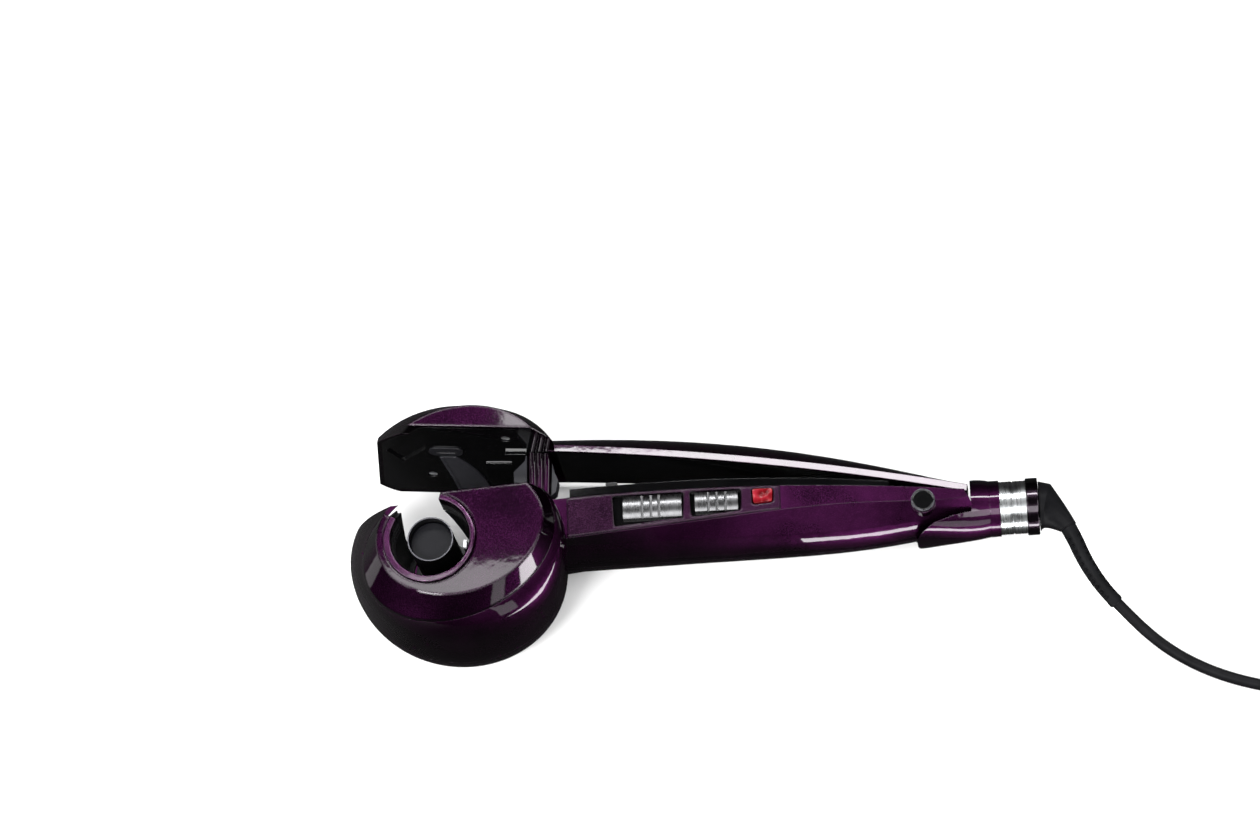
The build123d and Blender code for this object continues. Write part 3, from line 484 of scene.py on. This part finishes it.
WHITE_TIP = moulded("white_tip", (0.70, 0.70, 0.72), roughness=0.40, grain=1800.0, depth=0.15)
CERAMIC = moulded("heater_ceramic", (0.68, 0.66, 0.60), roughness=0.55, grain=1400.0, depth=0.3)
SPREADER = brushed(
    "spreader_aluminium", (0.62, 0.62, 0.64), stretch=(1.0, 1.0, 0.1), roughness=0.34, anisotropic=0.3)
CAP = polished("cap_black", (0.0012, 0.0012, 0.0015), roughness=0.12, coat=0.5)
CAP_RING = turned_metal("cap_ring", (0.10, 0.10, 0.11))
BAR = moulded("bar_grey", (0.010, 0.010, 0.012), roughness=0.34)
MOTOR_CAN = turned_metal("motor_can", (0.55, 0.55, 0.57))
COMPONENT = moulded("component_black", (0.014, 0.014, 0.015), roughness=0.35)
SWITCH = moulded("switch_black", (0.012, 0.012, 0.013), roughness=0.4)
LAMP = polished("lamp_red", (0.35, 0.03, 0.03), roughness=0.10)
END_PEARL = pearl(
    "end_ring_pearl", deep=(0.010, 0.006, 0.010), bright=(0.026, 0.016, 0.025),
    flake=(0.02, 0.015, 0.02, 1.0),
    roughness=0.20)

# material, then the nodes that have it
finishes = [
    (PURPLE, "lower_front_shell lower_back_shell upper_shell rear_collar neck_guard"),
    (FACE_PURPLE, "lower_face_plate upper_face_plate"),
    (PANEL_PURPLE, "control_panel"),
    (LIP_PURPLE, "chamber_lip"),
    (END_PEARL, "end_ring"),
    (PIANO, "upper_jaw_cover upper_arm_cover lower_inner_cover closing_bumper switch_well"),
    (CHARCOAL, "chamber_liner jaw_liner insulating_sleeve rotor motor_bracket swivel_bush"),
    (GREY, "hair_guide guard_wings"),
    (BAR, "pressing_bar"),
    (CAP, "hinge_cap"),
    (CAP_RING, "hinge_cap_ring"),
    (BRIGHT, "hinge_pin hinge_spring idler_axle motor_shaft closing_magnet"),
    (SCREW, "underside_screws back_screws"),
    (BRASS, "motor_pinion plug_blades"),
    (BARREL, "barrel"),
    (DISC, "barrel_cap"),
    (CERAMIC, "heater_core"),
    (SPREADER, "heat_spreader"),
    (WHITE_TIP, "rotor_finger_tip"),
    (ACETAL, "rotor_gear idler_gear"),
    (MOTOR_CAN, "motor"),
    (board_green(), "circuit_board"),
    (COMPONENT, "board_components"),
    (SWITCH, "slide_switches"),
    (LAMP, "lamp"),
    (red_lens(), "lamp_lens"),
    (SLIDER, "temperature_slider timer_slider"),
    (RING, "silver_ring"),
    (RUBBER, "rest_foot strain_relief plug_body"),
    (ELBOW, "swivel_elbow"),
    (CORD, "cord cord_tail cord_coil"),
    (woven_tie(), "cord_tie"),
]
materials = {node: finish for finish, names in finishes for node in names.split()}
for node, made in nodes.items():
    made.data.materials.clear()
    made.data.materials.append(materials[node])
cord.data.materials.append(CORD)
cord_guard.data.materials.append(RUBBER)

# ---------------------------------------------------------------- floor, light
FLOOR_REACH = 9
BOARD_FROM, BOARD_TO = -0.16, -0.03
# painted reflection: the pale and dark greys that only reflections see in the table
PAINTED_REFLECTION_PALE, PAINTED_REFLECTION_DARK = 0.12, 0.022
BACKDROP_STRENGTH = 0.9
ROOM_STRENGTH = 0.02
corners = [(x * FLOOR_REACH, y * FLOOR_REACH, 0) for x, y in ((-1, -1), (1, -1), (1, 1), (-1, 1))]
floor_mesh = bpy.data.meshes.new("floor")
floor_mesh.from_pydata(corners, [], [(0, 1, 2, 3)])
floor = add("floor", floor_mesh)
floor_surface = Surface("floor_pale_with_painted_reflection")
floor_surface.ramp(floor_surface.noise(3.0, 3.0), [(0.2, grey(0.86)), (0.8, grey(0.90))], "Base Color")
floor_surface.set(Roughness=0.9, Specular_IOR_Level=0.1)
# painted reflection: the lacquer sees a darker table than the camera does, a board painted pale at the left
# end (below BOARD_FROM) and fading to dark by BOARD_TO, so these reflections are painted in
board = floor_surface.node("BsdfDiffuse")
split = floor_surface.node("SeparateXYZ")
floor_surface.link(floor_surface.coords, split.inputs[0])
across = floor_surface.node("MapRange")
across.inputs["From Min"].default_value = BOARD_FROM
across.inputs["From Max"].default_value = BOARD_TO
floor_surface.link(split.outputs["X"], across.inputs["Value"])
# painted reflection: pale at the left end, fading to dark towards the right, seen only by glossy rays
painted_reflection_grey = floor_surface.ramp(across.outputs[0], [(0.0, grey(PAINTED_REFLECTION_PALE)), (1.0, grey(PAINTED_REFLECTION_DARK))])
floor_surface.link(painted_reflection_grey, board.inputs["Color"])
blend = floor_surface.node("MixShader")
floor_surface.link(floor_surface.node("LightPath").outputs["Is Glossy Ray"], blend.inputs[0])
floor_surface.link(floor_surface.shader.outputs[0], blend.inputs[1])
floor_surface.link(board.outputs[0], blend.inputs[2])
floor_surface.link(blend.outputs[0], floor_surface.output.inputs[0])
floor_mesh.materials.append(floor_surface.material)

# the camera sees a white backdrop, while the object is lit almost only by the softboxes
world = bpy.data.worlds.new("studio")
world.use_nodes = True
scene.world = world
background = world.node_tree.nodes["Background"]
background.inputs["Color"].default_value = (1.0, 1.0, 1.0, 1.0)
background.inputs["Strength"].default_value = BACKDROP_STRENGTH
dim = world.node_tree.nodes.new("ShaderNodeBackground")
dim.inputs["Strength"].default_value = ROOM_STRENGTH
path = world.node_tree.nodes.new("ShaderNodeLightPath")
choice = world.node_tree.nodes.new("ShaderNodeMixShader")
world.node_tree.links.new(path.outputs["Is Camera Ray"], choice.inputs[0])
world.node_tree.links.new(dim.outputs[0], choice.inputs[1])
world.node_tree.links.new(background.outputs[0], choice.inputs[2])
world.node_tree.links.new(choice.outputs[0], world.node_tree.nodes["World Output"].inputs[0])


def softbox(name, at, look, width, height, energy):
    data = bpy.data.lights.new(name, "AREA")
    data.shape = "RECTANGLE"
    data.size = width
    data.size_y = height
    data.energy = energy
    light = add(name, data)
    light.location = at
    light.rotation_euler = (Vector(look) - Vector(at)).to_track_quat("-Z", "Y").to_euler()
    return light


# name, place, point it faces, width, height, watts
LIGHTS = [
    ("key_front", (0.10, -0.80, 1.45), (0.10, 0.0, 0.03), 1.7, 0.70, 19.0),
    ("overhead_left", (-1.2, -0.3, 1.8), (0.05, 0.0, 0.03), 1.0, 1.0, 20.0),
    ("overhead_right", (1.4, -0.3, 1.8), (0.15, 0.0, 0.03), 1.0, 1.0, 20.0),
    ("left_card", (-1.3, 0.25, 0.38), (0.0, 0.0, 0.04), 0.8, 0.7, 4.0),
    ("glow_left", (-0.42, -0.65, 1.24), (0.0, -0.02, 0.05), 0.35, 0.35, 14.0),
    ("front_card", (0.66, -1.10, 0.36), (0.03, -0.02, 0.05), 0.28, 0.60, 1.3),
    ("right_card", (1.05, 0.53, 0.43), (0.05, 0.0, 0.05), 0.30, 0.30, 2.0),
    ("back_strip", (0.10, 0.80, 1.22), (0.10, 0.03, 0.04), 1.7, 0.13, 21.0),
    ("face_sweep", (-0.17, 0.352, 1.30), (-0.17, -0.02, 0.0), 0.30, 0.13, 1.0),
    ("lid_sweep", (-0.07, 0.54, 1.30), (-0.07, 0.05, 0.0), 0.14, 0.08, 0.40),
]
for row in LIGHTS:
    softbox(*row)
# a strip on the table that only reflections see, for the light line along the underside
table_strip = softbox("table_strip", (0.36, -0.18, 0.004), (0.36, -0.18, 1.0), 0.42, 0.18, 4.4)
table_strip.visible_camera = False
table_strip.visible_diffuse = False
